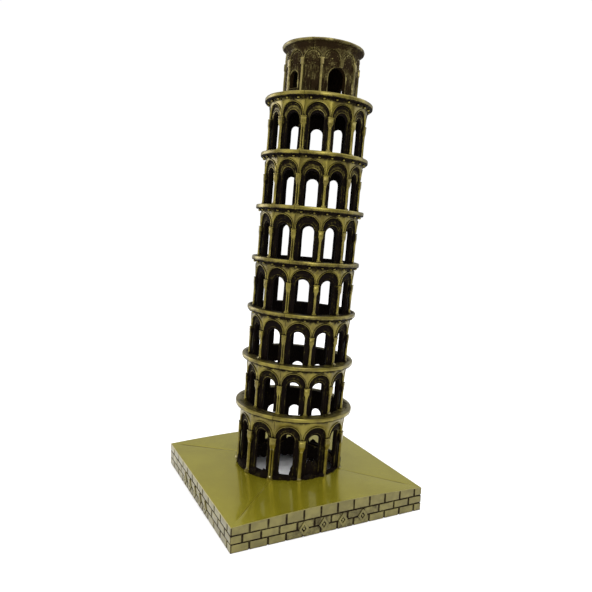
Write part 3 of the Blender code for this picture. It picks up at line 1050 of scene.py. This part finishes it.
def build_stage():
    mesh = bpy.data.meshes.new("floor")
    bm = bmesh.new()
    bmesh.ops.create_grid(bm, x_segments=1, y_segments=1, size=0.5)
    bm.to_mesh(mesh)
    bm.free()
    floor = link_object("floor", mesh)
    material, _, shader = node_tree("floor_white")
    shader.inputs["Base Color"].default_value = (0.95, 0.95, 0.96, 1)
    shader.inputs["Roughness"].default_value = 0.9
    mesh.materials.append(material)

    world = bpy.data.worlds.new("studio")
    bpy.context.scene.world = world
    world.use_nodes = True
    tree = world.node_tree
    background = tree.nodes["Background"]
    background.inputs["Color"].default_value = (1.0, 1.0, 1.0, 1)
    # The backdrop is white to the camera; the room around the tent is dimmer.
    seen = tree.nodes.new("ShaderNodeLightPath").outputs["Is Camera Ray"]
    tree.links.new(ramp(tree, seen, 0.46, 1.02, 0.0, 1.0), background.inputs["Strength"])
    area_light("top", (0.05, -0.05, 0.75), (0, 0, 0.05), (1.6, 1.6), 12.5)
    area_light("left", (-0.75, -0.05, 0.30), (0, 0, 0.08), (0.5, 0.6), 1.8, (1.0, 0.97, 0.95))
    area_light("front", (-0.15, -0.75, 0.42), (0, 0, 0.08), (0.35, 0.35), 2.6)
    area_light("back_left", (-0.50, 0.75, 0.28), (0, 0, 0.06), (0.5, 0.5), 3.0, (1.0, 0.96, 0.94))
    area_light("right", (0.70, -0.15, 0.30), (0, 0, 0.08), (0.4, 0.6), 1.2, (0.97, 0.97, 1.0))
    bpy.context.scene.view_settings.view_transform = "Standard"


def build_camera():
    """View from the front left, slightly down, with a slight roll."""
    azimuth, elevation, roll = (math.radians(angle) for angle in (-26.517, 7.402, 2.087))
    forward = Vector((-math.sin(azimuth) * math.cos(elevation),
                      math.cos(azimuth) * math.cos(elevation), -math.sin(elevation)))
    right = Vector((math.cos(azimuth), math.sin(azimuth), 0))
    up = right.cross(forward)
    right, up = (right * math.cos(roll) + up * math.sin(roll),
                 up * math.cos(roll) - right * math.sin(roll))
    data = bpy.data.cameras.new("camera")
    data.lens = 35.31
    data.sensor_width = 36.0
    data.clip_start = 0.01
    data.clip_end = 50.0
    camera = link_object("camera", data)
    matrix = Matrix((right, up, -forward)).transposed().to_4x4()
    matrix.translation = Vector((-0.10458, -0.21215, 0.11234))
    camera.matrix_world = matrix
    bpy.context.scene.camera = camera


def main():
    build_camera()
    brass = antique_brass(
        "arcade_antique_brass", bright=(0.180, 0.148, 0.022), worn=(0.114, 0.090, 0.016),
        patina=(0.0045, 0.0028, 0.0022), bright_rough=0.36, patina_rough=0.6, coat=0.25)
    belfry_brass = antique_brass(
        "belfry_antique_brass", bright=(0.17, 0.143, 0.042), worn=(0.095, 0.075, 0.022),
        patina=(0.014, 0.008, 0.0028), bright_rough=0.40, patina_rough=0.6, coat=0.15)
    bricks = antique_brass(
        "brick_relief_brass", bright=(0.175, 0.152, 0.046), worn=(0.128, 0.110, 0.034),
        patina=(0.018, 0.012, 0.007), bright_rough=0.40, patina_rough=0.5, coat=0.45)
    solder_brass = antique_brass(
        "solder", bright=(0.24, 0.21, 0.09), worn=(0.13, 0.11, 0.05),
        patina=(0.012, 0.008, 0.007), bright_rough=0.30, patina_rough=0.45, coat=0.15)
    build_base(polished_top("polished_brass_top"), bricks)
    build_tower(brass, belfry_brass)
    build_solder_lumps(solder_brass)
    build_dark_solder_and_shade_bank(brass)
    build_stage()


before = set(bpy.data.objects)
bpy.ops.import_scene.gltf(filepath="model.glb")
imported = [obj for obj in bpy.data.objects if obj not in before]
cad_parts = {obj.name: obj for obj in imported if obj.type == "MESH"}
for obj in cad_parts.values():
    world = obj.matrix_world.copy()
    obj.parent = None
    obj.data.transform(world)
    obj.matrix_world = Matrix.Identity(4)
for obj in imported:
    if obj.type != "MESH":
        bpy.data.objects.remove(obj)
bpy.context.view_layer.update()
main()
